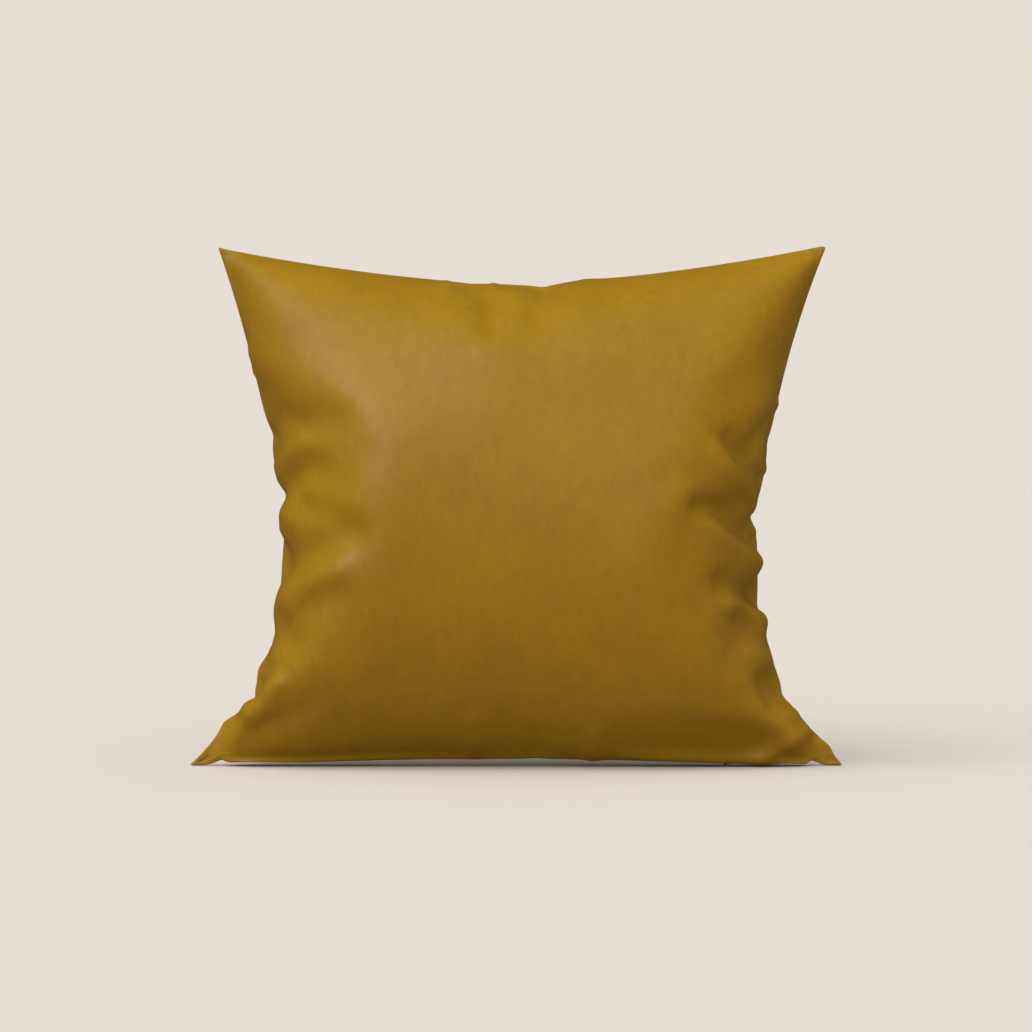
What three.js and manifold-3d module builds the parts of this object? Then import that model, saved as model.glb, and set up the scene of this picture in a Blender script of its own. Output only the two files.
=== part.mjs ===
// A square throw pillow standing on its bottom edge: a velvet cover with a concealed zip in its bottom
// seam, and a ticking insert filled with polyester fibre. Millimetres, +Z up, front towards -Y, origin on
// the floor below the middle.
import * as THREE from "three";
import { mergeVertices } from "three/addons/utils/BufferGeometryUtils.js";
import Module from "manifold-3d";

const wasm = await Module();
wasm.setup();

// The filled pillow's outline.
const bottomWidth = 430; // corner to corner along the floor
const waistWidth = 312; // across the drawn-in sides
const topWidth = 398; // corner to corner along the top
const cornerHeight = 341; // floor to the tips of the top corners
const topHeight = 316; // floor to the middle of the top seam
const thickness = 168; // front to back, at the fullest place
const waistHeight = 143; // where the sides are drawn in most
const bellyHeight = 130; // where the pillow is thickest
const footDepth = 84; // front to back of the flattened foot that rests on the floor

// The cover.
const coverWall = 1.2; // velvet with its backing
const coverFold = 4; // half the thickness of the turned seam: panel, allowance and thread
const coverAllowance = 10;
const seamGap = 0.15; // from the seam plane to each panel
const tipHeight = 3; // bottom corner tips above the floor

// The insert and its fill.
const insertWall = 0.8;
const insertFold = 3;
const insertAllowance = 7;
const insertClearance = 3.2; // from the cover's bound allowance to the insert's seam
const insertSlack = 2.4; // between the cover's inner face and the insert
const insertLift = 0.3; // insert above the cover's inner face, where it rests
const fillClearance = 2.2; // from the insert's bound allowance to the fibre
const fillSlack = 1;
const fillEdge = 1.7; // half the thickness of the fibre's edge
const fillLift = 0.3;
const insertOverZip = 10; // from the slider's top up to the insert's bottom seam
const insertTunnel = { beside: 2, above: 2.3, foot: 9 }; // the insert's clearances past the tapes and the slider
const fillTunnel = { beside: 5, above: 6.5, foot: 12 };
const fillOverSeam = 2; // from the insert's allowance up to the fibre

// The zip.
const zipHeight = 12; // folded edges of the zip opening above the floor
const zipHalfOpening = 1; // from the middle to each folded edge
const grooveShoulder = { reach: 3.6, drop: 2.4 }; // the folds' underside: from the middle, and below the edges
const grooveWall = { reach: 4.6, drop: 7 };
const grooveFoot = 9; // from the middle to where the groove meets the flat foot
const tapeLength = 344;
const tapeWidth = 11.5;
const tapeThickness = 0.5;
const coilRadius = 1.1;
const coilHalfGap = 0.75; // from the middle to each coil
const coilLength = 320;
const sliderLength = 9;
const sliderWall = 0.8;
const sliderNeck = 0.7; // thickness of the web that passes between the coils
const neckLength = 4.6;
const pullLength = 20;
const pullWidth = 4;
const pullThickness = 1;
const pullDrop = 3.6; // pull's axis below the folded edges
const stopLength = 3;
const touch = 0.3; // gap between pieces that rest on each other
const running = 0.4; // gap round what moves

// Threads and labels.
const tipAllowance = 0.05; // what is left of the allowance at a corner's tip
const cornerTrim = 0.22; // how much it grows with each millimetre from there
const bindingWall = 0.5; // thickness of the overlock stitch on the raw edges
const bindingArm = 3; // how far it reaches over the allowance
const bindingFrom = 29.5; // along the seam from a corner to where the stitch starts
const bindingReach = touch + bindingWall; // past the raw edge
const turnAllowance = 4; // most of the allowance beside the ends of the zip, where it turns over
const coverThread = 0.3; // radius
const insertThread = 0.4; // radius
const closingLength = 300; // hand-sewn gap in the insert's bottom edge
const careLabel = { width: 30, length: 42, thickness: 0.6 };
const insertLabel = { width: 40, length: 34, thickness: 0.6 };

// The net that every layer is shaped on: columns from left to right, rows from the bottom seam to the top
// seam.
const columns = 14;
const footRow = 5; // rows 0 to 5 are the fold, the groove round the zip, and the flat foot
const lowerRows = 4; // from the foot to the belly
const upperRows = 6; // from the belly to the top fold
const rows = footRow + lowerRows + upperRows + 1;
const foldInset = 1.5; // the fold's shoulder inside the seam line

const quarterTurn = Math.PI / 2;
const ease = (t) => THREE.MathUtils.smoothstep(t, 0, 1);
const mix = THREE.MathUtils.lerp;

// How full the pillow is at a share u of its half width.
const fullness = (u) => Math.pow(Math.max(0, 1 - Math.pow(Math.abs(u), 2.4)), 0.6);

// Half the width between the side seams of the cover at a height.
function halfWidthAt(z) {
  const below = (waistHeight - z) / (waistHeight - tipHeight);
  const above = (z - waistHeight) / (cornerHeight - waistHeight);
  const flare =
    z < waistHeight
      ? (bottomWidth - waistWidth) * Math.pow(below, 2.4)
      : (topWidth - waistWidth) * Math.pow(above, 1.6);
  return (waistWidth + flare) / 2;
}

const topSeamAt = (u) => mix(topHeight, cornerHeight, Math.pow(Math.abs(u), 1.6));

// Each layer's own sizes. groove lists how far from the middle and how high its bottom is round the zip,
// from the seam to where the flat foot starts. room is what the allowance has, straight in from the seam,
// before the next layer. flatTo is the share of the half width at which the groove and the foot have run
// out, and flatOver the share over which they do.
const spare = 0.9; // least room between a bound allowance and the next layer
const insertInset = coverAllowance + bindingReach + insertClearance;
const fillInset = insertAllowance + bindingReach + fillClearance;
const sliderTop = zipHeight + 2 * touch + tapeThickness + 2 * coilRadius + running + sliderWall;
const cover = {
  wall: coverWall,
  fold: coverFold,
  allowance: coverAllowance,
  room: insertInset - spare,
  inset: 0,
  depth: 0,
  seamHalfGap: seamGap,
  endHeight: tipHeight,
  endStep: 2,
  flatTo: 1,
  flatOver: 0.134,
  groove: [
    [zipHalfOpening, zipHeight],
    [grooveShoulder.reach, zipHeight - grooveShoulder.drop],
    [grooveWall.reach, zipHeight - grooveWall.drop],
    [grooveFoot, 0],
  ],
};
const insertFloor = coverWall + insertLift;
const tapeReach = zipHalfOpening + tapeWidth;
const insertSeam = sliderTop + insertOverZip;
const insert = {
  wall: insertWall,
  fold: insertFold,
  allowance: insertAllowance,
  room: fillInset - spare,
  inset: insertInset,
  depth: coverWall + insertSlack,
  seamHalfGap: seamGap,
  endHeight: insertSeam,
  endStep: 5,
  flatTo: 0.8,
  flatOver: 0.25,
  groove: [
    [seamGap, insertSeam],
    [insertFold, insertSeam - foldInset],
    [tapeReach + insertTunnel.beside, sliderTop + insertTunnel.above],
    [tapeReach + insertTunnel.foot, insertFloor],
  ],
};
const fillFloor = insertFloor + insertWall + fillLift;
const fillSeam = insertSeam + insertAllowance + fillOverSeam;
const fill = {
  fold: fillEdge,
  inset: insertInset + fillInset,
  depth: insert.depth + insertWall + fillSlack,
  seamHalfGap: fillEdge - 0.5,
  endHeight: fillSeam,
  endStep: 5,
  flatTo: 0.76,
  flatOver: 0.25,
  groove: [
    [fillEdge - 0.5, fillSeam],
    [fillEdge + 2, fillSeam - foldInset],
    [tapeReach + fillTunnel.beside, sliderTop + fillTunnel.above],
    [tapeReach + fillTunnel.foot, fillFloor],
  ],
};

// How far a column is inside the stretch where the layer has its groove and its foot: 1 well inside, 0
// outside.
const footShare = (layer, u) => ease((layer.flatTo - Math.abs(u)) / layer.flatOver);

// The layer's section at column u: distance from the seam plane and height at each row.
function section(layer, u, row) {
  const share = footShare(layer, u);
  const full = fullness(u);
  if (row <= footRow) {
    const footEnd = (footDepth / 2 - layer.depth) * full;
    const groove = layer.groove[Math.min(row, 3)];
    const reach = [0, 0, 0, 0, 0.5, 1][row];
    const side = [
      row === 0 ? layer.seamHalfGap : layer.fold,
      layer.endHeight + (row === 0 ? 0 : foldInset + (row - 1) * layer.endStep),
    ];
    return {
      y: mix(side[0], mix(groove[0], Math.max(footEnd, groove[0] + 2), reach), share),
      z: mix(side[1], groove[1], share),
    };
  }
  const crown = layer.fold + (thickness / 2 - layer.depth - layer.fold) * full;
  const top = topSeamAt(u) - layer.inset;
  if (row === rows) return { y: layer.seamHalfGap, z: top };
  const foot = section(layer, u, footRow);
  if (row <= footRow + lowerRows) {
    const turn = ((row - footRow) / lowerRows) * quarterTurn;
    return {
      y: foot.y + (crown - foot.y) * Math.sin(turn),
      z: foot.z + (bellyHeight - foot.z) * (1 - Math.cos(turn)),
    };
  }
  const share2 = (row - footRow - lowerRows) / upperRows;
  const rise = 0.8 * Math.sin(share2 * quarterTurn) + 0.2 * share2;
  const lean = row === rows - 1 ? 0 : Math.pow(Math.cos(share2 * quarterTurn), 0.9);
  return {
    y: layer.fold + (crown - layer.fold) * lean,
    z: bellyHeight + (top - foldInset - bellyHeight) * rise,
  };
}

const shareAt = (column) => {
  const inner = THREE.MathUtils.clamp((column - 1) / (columns - 2), 0, 1);
  return Math.sin((inner * 2 - 1) * quarterTurn);
};

// One point of the layer's outer face on the front side.
function outerPoint(layer, column, row) {
  const u = shareAt(column);
  const { y, z } = section(layer, u, row);
  const half = halfWidthAt(z) - layer.inset;
  const edge = column === 0 || column === columns;
  const x = edge ? u * half : u * (half - foldInset);
  return new THREE.Vector3(x, edge ? -layer.seamHalfGap : -y, z);
}

function outerNet(layer) {
  const net = [];
  for (let i = 0; i <= columns; i++) {
    net.push([]);
    for (let j = 0; j <= rows; j++) net[i].push(outerPoint(layer, i, j));
  }
  return net;
}

// The unit normal that points out of the layer at an inner point of its net.
function normalAt(net, i, j) {
  const sum = new THREE.Vector3();
  for (const [di, dj] of [[1, 1], [-1, 1], [-1, -1], [1, -1]]) {
    const across = net[i + di][j].clone().sub(net[i][j]).multiplyScalar(di);
    const up = net[i][j + dj].clone().sub(net[i][j]).multiplyScalar(dj);
    sum.add(across.cross(up).normalize());
  }
  return sum.normalize();
}

const isEdge = (i, j) => i === 0 || j === 0 || i === columns || j === rows;

// The points on the seam line, counterclockwise from the front, from the bottom left corner.
function seamLoop() {
  const loop = [];
  for (let i = 0; i < columns; i++) loop.push([i, 0]);
  for (let j = 0; j < rows; j++) loop.push([columns, j]);
  for (let i = columns; i > 0; i--) loop.push([i, rows]);
  for (let j = rows; j > 0; j--) loop.push([0, j]);
  return loop;
}

// How far the allowance has turned over at a point of the seam: 1 lying back against the panel, as it does
// along the zip, 0 standing against the other panel's.
function turnedShare(layer, i, j) {
  const opens = layer.groove[0][0] > layer.seamHalfGap;
  return opens && j === 0 ? footShare(layer, shareAt(i)) : 0;
}

// For each point of the seam line: the direction into the pillow and how deep the allowance is there. The
// allowance is trimmed back towards the corners, and where the slant of the seam leaves it less room.
function seamFrames(net, layer) {
  const loop = seamLoop();
  const at = (k) => net[loop[(k + loop.length) % loop.length][0]][loop[(k + loop.length) % loop.length][1]];
  const flatStep = (a, b) => new THREE.Vector2(b.x - a.x, b.z - a.z);
  const corners = [0, columns, columns + rows, 2 * columns + rows, loop.length];
  const along = [0];
  for (let k = 0; k < loop.length; k++) along.push(along[k] + flatStep(at(k), at(k + 1)).length());
  const frames = new Map();
  loop.forEach(([i, j], k) => {
    const before = flatStep(at(k - 1), at(k)).normalize();
    const after = flatStep(at(k), at(k + 1)).normalize();
    const tangent = before.add(after).normalize();
    const toCorner = Math.min(...corners.map((c) => Math.abs(along[k] - along[c])));
    const slant = Math.max(Math.abs(tangent.x), Math.abs(tangent.y));
    const turned = turnedShare(layer, i, j);
    const most = turned > 0 && turned < 1 ? turnAllowance : layer.allowance;
    frames.set(i + "," + j, {
      inward: new THREE.Vector3(-tangent.y, 0, tangent.x),
      depth: Math.min(most, tipAllowance + cornerTrim * toCorner, layer.room * slant - bindingReach),
      toCorner,
    });
  });
  return frames;
}

// Turns the diagonals of a box's two skins so that they run out to its corners, alike on both.
function fanDiagonals(box) {
  const position = box.attributes.position;
  const index = box.index.array;
  const skins = box.groups.filter((group) => group.materialIndex === 2 || group.materialIndex === 3);
  for (const { start, count } of skins) {
    for (let k = start; k < start + count; k += 6) {
      const [a, b, d, , c] = index.slice(k, k + 6);
      const wide = position.getX(d) - position.getX(b);
      const high = position.getZ(d) - position.getZ(b);
      const middle = (position.getX(a) + position.getX(c)) * (position.getZ(a) + position.getZ(c));
      if (wide * high * middle < 0) index.set([a, b, c, a, c, d], k);
    }
  }
}

// A box net whose faces are moved to the places that a function gives for its column, ring and row.
function netGeometry(rings, side, place) {
  const box = new THREE.BoxGeometry(1, 1, 1, columns, rings, rows);
  fanDiagonals(box);
  box.deleteAttribute("normal");
  box.deleteAttribute("uv");
  const net = mergeVertices(box);
  const position = net.attributes.position;
  for (let k = 0; k < position.count; k++) {
    const i = Math.round((position.getX(k) + 0.5) * columns);
    const ring = Math.round((position.getY(k) + 0.5) * rings);
    const j = Math.round((position.getZ(k) + 0.5) * rows);
    const point = place(i, j, ring);
    position.setXYZ(k, point.x, -side * point.y, point.z);
  }
  if (side > 0) turnFacesRound(net);
  return net;
}

function turnFacesRound(geometry) {
  const index = geometry.index.array;
  for (let k = 0; k < index.length; k += 3) [index[k + 1], index[k + 2]] = [index[k + 2], index[k + 1]];
}

// One sewn panel: its outer face, its wall, and the allowance turned in along its edge. Along the zip the
// allowance lies back against the panel; elsewhere it stands against the other panel's.
function panelGeometry(layer, side) {
  const net = outerNet(layer);
  const frames = seamFrames(net, layer);
  const shoulder = foldInset + 0.8;
  return netGeometry(3, side, (i, j, ring) => {
    const point = net[i][j];
    if (ring === 0) return point;
    if (!isEdge(i, j)) return point.clone().addScaledVector(normalAt(net, i, j), -layer.wall);
    const frame = frames.get(i + "," + j);
    const turned = turnedShare(layer, i, j);
    const into = frame.inward.clone().lerp(new THREE.Vector3(0, -1, 0), turned).normalize();
    const across = new THREE.Vector3(0, -1, 0).lerp(new THREE.Vector3(0, 0, -1), turned).normalize();
    const depth = ring === 3 ? Math.min(shoulder, frame.depth * 0.6) : frame.depth;
    const moved = point.clone().addScaledVector(into, depth);
    return ring === 1 ? moved : moved.addScaledVector(across, Math.min(layer.wall, frame.depth));
  });
}

function fillGeometry(layer) {
  const net = outerNet(layer);
  return netGeometry(1, -1, (i, j, ring) => {
    const point = net[i][j].clone();
    if (ring === 1) point.y = -point.y;
    return point;
  });
}

// The overlock stitch over the raw edges of both allowances, along one side of a layer.
function bindingGeometry(layer, run) {
  const net = outerNet(layer);
  const frames = seamFrames(net, layer);
  const path = run.filter(([i, j]) => frames.get(i + "," + j).toCorner > bindingFrom);
  const inner = layer.seamHalfGap + layer.wall + touch;
  const outer = inner + bindingWall;
  const outline = new THREE.Shape([
    new THREE.Vector2(-bindingArm, -outer),
    new THREE.Vector2(bindingReach, -outer),
    new THREE.Vector2(bindingReach, outer),
    new THREE.Vector2(-bindingArm, outer),
    new THREE.Vector2(-bindingArm, inner),
    new THREE.Vector2(touch, inner),
    new THREE.Vector2(touch, -inner),
    new THREE.Vector2(-bindingArm, -inner),
  ]);
  const steps = path.length - 1;
  const strip = new THREE.ExtrudeGeometry(outline, { depth: steps, steps, bevelEnabled: false });
  const position = strip.attributes.position;
  for (let k = 0; k < position.count; k++) {
    const [i, j] = path[Math.round(position.getZ(k))];
    const frame = frames.get(i + "," + j);
    const point = net[i][j].clone();
    point.addScaledVector(frame.inward, frame.depth + position.getX(k));
    position.setXYZ(k, point.x, position.getY(k), point.z);
  }
  return strip;
}

const leftRun = Array.from({ length: rows + 1 }, (_, k) => [0, k]);
const rightRun = Array.from({ length: rows + 1 }, (_, k) => [columns, rows - k]);
const topRun = Array.from({ length: columns + 1 }, (_, k) => [k, rows]);

// A thin sewn-in label that follows a layer's face at an offset out of it. Its outer corner is at a column
// and a row of the layer's net, and it runs up from there and in towards the middle.
function labelGeometry(label, layer, offset, side, column, row) {
  const net = outerNet(layer);
  const face = net.map((line, i) =>
    line.map((point, j) => {
      if (isEdge(i, j)) return point;
      return point.clone().addScaledVector(normalAt(net, i, j), offset);
    }),
  );
  const lift = label.thickness / 2 / (label.thickness / 2 + Math.abs(offset));
  const box = new THREE.BoxGeometry(1, 1, 1, 4, 1, 4);
  box.deleteAttribute("normal");
  box.deleteAttribute("uv");
  const strip = mergeVertices(box.translate(0.5, 0, 0.5));
  const inwards = column < columns / 2 ? 1 : -1;
  const cellWidth = face[column][row].distanceTo(face[column + inwards][row]);
  const cellHeight = face[column][row].distanceTo(face[column][row + 1]);
  const position = strip.attributes.position;
  for (let k = 0; k < position.count; k++) {
    const across = inwards > 0 ? position.getX(k) : position.getX(k) - 1;
    const s = column + (across * label.length) / cellWidth;
    const t = row + (position.getZ(k) * label.width) / cellHeight;
    const middle = netPoint(face, s, t);
    const point = middle.lerp(netPoint(net, s, t), 2 * lift * position.getY(k) * Math.sign(offset));
    position.setXYZ(k, point.x, -side * point.y, point.z);
  }
  if (side > 0) turnFacesRound(strip);
  return strip;
}

// A point between the corners of a net's cell.
function netPoint(net, s, t) {
  const i = Math.floor(s);
  const j = Math.floor(t);
  const low = net[i][j].clone().lerp(net[i + 1][j], s - i);
  const high = net[i][j + 1].clone().lerp(net[i + 1][j + 1], s - i);
  return low.lerp(high, t - j);
}

const boxAt = (sx, sy, sz, x, y, z) => new THREE.BoxGeometry(sx, sy, sz).translate(x, y, z);

const rodAlongX = (radius, length, sides) =>
  new THREE.CylinderGeometry(radius, radius, length, sides).rotateZ(quarterTurn);

function solidOf(geometry) {
  const bare = geometry.index ? geometry.toNonIndexed() : geometry.clone();
  bare.deleteAttribute("normal");
  bare.deleteAttribute("uv");
  const merged = mergeVertices(bare, 1e-4);
  return new wasm.Manifold(
    new wasm.Mesh({
      numProp: 3,
      vertProperties: merged.attributes.position.array,
      triVerts: new Uint32Array(merged.index.array),
    }),
  );
}

function geometryOf(solid) {
  const mesh = solid.getMesh();
  const geometry = new THREE.BufferGeometry();
  geometry.setAttribute("position", new THREE.BufferAttribute(mesh.vertProperties, 3));
  geometry.setIndex(new THREE.BufferAttribute(mesh.triVerts, 1));
  return geometry;
}

// Heights and reaches of the zip, from the folded edges up.
const tapeBottom = zipHeight + touch;
const tapeTop = tapeBottom + tapeThickness;
const coilHeight = tapeTop + touch + coilRadius;
const coilReach = coilHalfGap + 2 * coilRadius;
const sliderCap = coilHeight + coilRadius + running;
const pullHeight = zipHeight - pullDrop;
const eyeRadius = pullThickness * 0.71 + running;
const sliderRest = coilLength / 2 - sliderLength / 2 - touch;

// The slider in section across the zip: a cap over both coils, with a lip down each side, and the web
// between the coils that carries the pull outside.
function sliderGeometry() {
  const lip = coilReach + running;
  const reach = lip + sliderWall;
  const lipFoot = tapeTop + running;
  const half = sliderNeck / 2;
  const capTop = sliderCap + sliderWall;
  const outline = new THREE.Shape([
    new THREE.Vector2(-reach, lipFoot),
    new THREE.Vector2(-lip, lipFoot),
    new THREE.Vector2(-lip, sliderCap),
    new THREE.Vector2(lip, sliderCap),
    new THREE.Vector2(lip, lipFoot),
    new THREE.Vector2(reach, lipFoot),
    new THREE.Vector2(reach, capTop),
    new THREE.Vector2(-reach, capTop),
  ]);
  const cap = new THREE.ExtrudeGeometry(outline, { depth: sliderLength, bevelEnabled: false })
    .translate(0, 0, -sliderLength / 2)
    .rotateX(quarterTurn)
    .rotateZ(quarterTurn);
  const web = new THREE.Shape();
  web.moveTo(-neckLength / 2, capTop - sliderWall / 2);
  web.lineTo(-neckLength / 2, pullHeight);
  web.absarc(0, pullHeight, neckLength / 2, Math.PI, 2 * Math.PI, false);
  web.lineTo(neckLength / 2, capTop - sliderWall / 2);
  const eye = new THREE.Path();
  eye.absarc(0, pullHeight, eyeRadius, 0, 2 * Math.PI, true);
  web.holes.push(eye);
  const neck = new THREE.ExtrudeGeometry(web, { depth: sliderNeck, bevelEnabled: false, curveSegments: 10 })
    .translate(0, 0, -half)
    .rotateX(quarterTurn);
  return geometryOf(solidOf(cap).add(solidOf(neck)));
}

// The pull lies towards -X from its axis, with a window that the slider's web stands in.
function pullGeometry() {
  const bar = pullThickness / 2;
  const half = pullWidth / 2;
  const windowHalf = sliderNeck / 2 + running;
  const windowEnd = neckLength / 2 + running + bar;
  const outline = new THREE.Shape();
  outline.moveTo(bar, -half);
  outline.lineTo(bar, half);
  outline.lineTo(-pullLength + half, half);
  outline.absarc(-pullLength + half, 0, half, quarterTurn, 3 * quarterTurn, false);
  outline.lineTo(bar, -half);
  const window = new THREE.Path([
    new THREE.Vector2(-bar, -windowHalf),
    new THREE.Vector2(-bar, windowHalf),
    new THREE.Vector2(-windowEnd, windowHalf),
    new THREE.Vector2(-windowEnd, -windowHalf),
  ]);
  outline.holes.push(window);
  return new THREE.ExtrudeGeometry(outline, {
    depth: pullThickness,
    bevelEnabled: false,
    curveSegments: 6,
  }).translate(0, 0, -pullThickness / 2);
}

const velvet = { color: 0x96700a, roughness: 0.95, metalness: 0 };
const polyesterTape = { color: 0x7d5f14, roughness: 0.85, metalness: 0 };
const nylon = { color: 0x8a6a1c, roughness: 0.45, metalness: 0 };
const castZinc = { color: 0xa98a3a, roughness: 0.35, metalness: 0.9 };
const sewingThread = { color: 0x86640c, roughness: 0.7, metalness: 0 };
const ticking = { color: 0xeeebe4, roughness: 0.9, metalness: 0 };
const whiteThread = { color: 0xf4f2ee, roughness: 0.7, metalness: 0 };
const satinLabel = { color: 0xf3f1ec, roughness: 0.5, metalness: 0 };
const fibre = { color: 0xf7f6f3, roughness: 1, metalness: 0 };

const pillow = new THREE.Group();

function addPiece(parent, name, geometry, finish) {
  const piece = new THREE.Mesh(geometry, new THREE.MeshStandardMaterial(finish));
  piece.name = name;
  parent.add(piece);
  return piece;
}

addPiece(pillow, "cover_front_panel", panelGeometry(cover, -1), velvet);
addPiece(pillow, "cover_back_panel", panelGeometry(cover, 1), velvet);
addPiece(pillow, "insert_front_panel", panelGeometry(insert, -1), ticking);
addPiece(pillow, "insert_back_panel", panelGeometry(insert, 1), ticking);
addPiece(pillow, "insert_fill", fillGeometry(fill), fibre);
for (const [end, run] of [["left", leftRun], ["top", topRun], ["right", rightRun]]) {
  addPiece(pillow, "cover_seam_thread_" + end, bindingGeometry(cover, run), sewingThread);
  addPiece(pillow, "insert_seam_thread_" + end, bindingGeometry(insert, run), whiteThread);
}
const closing = rodAlongX(insertThread, closingLength, 8);
closing.translate(0, 0, insertSeam - touch - insertThread);
addPiece(pillow, "insert_closing_thread", closing, whiteThread);
const careOffset = -(coverWall + touch + careLabel.thickness);
addPiece(pillow, "care_label", labelGeometry(careLabel, cover, careOffset, 1, 2, footRow + 3), satinLabel);
const tagOffset = touch + insertLabel.thickness;
const tag = labelGeometry(insertLabel, insert, tagOffset, -1, columns - 2, footRow + 3);
addPiece(pillow, "insert_label", tag, satinLabel);

for (const [end, side] of [["front", -1], ["back", 1]]) {
  const tapeMiddle = side * (zipHalfOpening + tapeWidth / 2);
  const tape = boxAt(tapeLength, tapeWidth, tapeThickness, 0, tapeMiddle, tapeBottom + tapeThickness / 2);
  addPiece(pillow, "zip_tape_" + end, tape, polyesterTape);
  const row = rodAlongX(coilRadius, coilLength, 10);
  row.translate(0, side * (coilHalfGap + coilRadius), coilHeight);
  addPiece(pillow, "zip_coil_" + end, row, nylon);
  const stop = boxAt(stopLength, 2 * coilRadius, 2 * coilRadius, 0, 0, 0);
  stop.translate(coilLength / 2 + touch + stopLength / 2, side * (coilHalfGap + coilRadius), coilHeight);
  addPiece(pillow, "zip_top_stop_" + end, stop, castZinc);
  const stitch = rodAlongX(coverThread, tapeLength, 6);
  stitch.translate(0, tapeMiddle, tapeTop + touch + coverThread);
  addPiece(pillow, "tape_thread_" + end, stitch, sewingThread);
}
const endStop = boxAt(stopLength, 2 * coilReach, 2 * coilRadius, 0, 0, coilHeight);
endStop.translate(-coilLength / 2 - touch - stopLength / 2, 0, 0);
addPiece(pillow, "zip_bottom_stop", endStop, castZinc);

// Closed, the slider is at the right. Its pull lies to the left, with its tip down on the floor.
const slider = new THREE.Group();
slider.position.x = sliderRest;
pillow.add(slider);
addPiece(slider, "zip_slider", sliderGeometry(), castZinc);
const pull = addPiece(slider, "zip_pull", pullGeometry(), castZinc);
pull.position.z = pullHeight;
pull.rotation.y = -Math.asin((pullHeight - pullThickness / 2 - touch) / pullLength);

export default pillow;
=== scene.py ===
# A square velvet throw pillow standing on its bottom edge: the cover with its concealed zip, and the insert.
import math

import bmesh
import bpy
import numpy as np
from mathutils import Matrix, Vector, noise
from mathutils.bvhtree import BVHTree


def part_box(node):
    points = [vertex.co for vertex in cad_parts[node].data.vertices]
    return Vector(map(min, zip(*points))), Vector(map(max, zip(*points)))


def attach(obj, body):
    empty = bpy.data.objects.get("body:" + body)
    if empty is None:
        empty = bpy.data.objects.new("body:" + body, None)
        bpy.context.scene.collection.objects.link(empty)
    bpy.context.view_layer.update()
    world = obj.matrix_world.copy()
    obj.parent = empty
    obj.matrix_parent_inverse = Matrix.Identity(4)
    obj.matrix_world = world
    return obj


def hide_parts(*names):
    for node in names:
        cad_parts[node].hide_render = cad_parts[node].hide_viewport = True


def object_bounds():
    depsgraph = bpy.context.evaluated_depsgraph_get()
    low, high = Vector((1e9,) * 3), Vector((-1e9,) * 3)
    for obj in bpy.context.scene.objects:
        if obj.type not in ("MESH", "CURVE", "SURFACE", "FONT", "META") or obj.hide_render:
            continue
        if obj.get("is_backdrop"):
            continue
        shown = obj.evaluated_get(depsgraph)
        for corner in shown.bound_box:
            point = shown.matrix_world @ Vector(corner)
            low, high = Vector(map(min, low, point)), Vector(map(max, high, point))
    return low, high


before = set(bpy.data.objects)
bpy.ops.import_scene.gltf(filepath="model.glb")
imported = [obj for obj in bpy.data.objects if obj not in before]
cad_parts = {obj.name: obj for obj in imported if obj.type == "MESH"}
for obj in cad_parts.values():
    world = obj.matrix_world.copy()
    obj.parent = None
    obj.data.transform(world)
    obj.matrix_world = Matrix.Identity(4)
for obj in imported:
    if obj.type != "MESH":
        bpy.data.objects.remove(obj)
cadLow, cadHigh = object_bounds()
scene = bpy.context.scene

studio = {
    "distance": 5.0,
    "elevation": 3.0,
    "fieldWidth": 0.6775,  # width of what the camera sees at the pillow
    "aimHeight": 0.1645,
    "backdrop": (0.791, 0.730, 0.665),
    "floorColour": (0.786, 0.737, 0.687),
    "floorBounce": 0.6,  # share of the floor's colour that lights the pillow from below
    "ambient": 0.50,
    "glossAmbient": 0.05,
    "keyStrength": 2.05,
    "keyFrom": (-0.33, -0.60, 0.86),
    "keySpread": 70,
    "glossStrength": 1.7,
    "glossFrom": (-0.40, -0.80, 0.46),
    "glossSpread": 24,
}


def makeCamera():
    data = bpy.data.cameras.new("camera")
    camera = bpy.data.objects.new("camera", data)
    scene.collection.objects.link(camera)
    scene.camera = camera
    data.sensor_width = 36
    data.lens = data.sensor_width * studio["distance"] / studio["fieldWidth"]
    tilt = math.radians(studio["elevation"])
    outwards = Vector((0, -math.cos(tilt), math.sin(tilt)))
    camera.location = Vector((0, 0, studio["aimHeight"])) + outwards * studio["distance"]
    camera.rotation_euler = (-outwards).to_track_quat("-Z", "Y").to_euler()


def newMaterial(name):
    material = bpy.data.materials.new(name)
    material.use_nodes = True
    nodes = material.node_tree.nodes
    return material, nodes, material.node_tree.links, nodes["Principled BSDF"]


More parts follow.
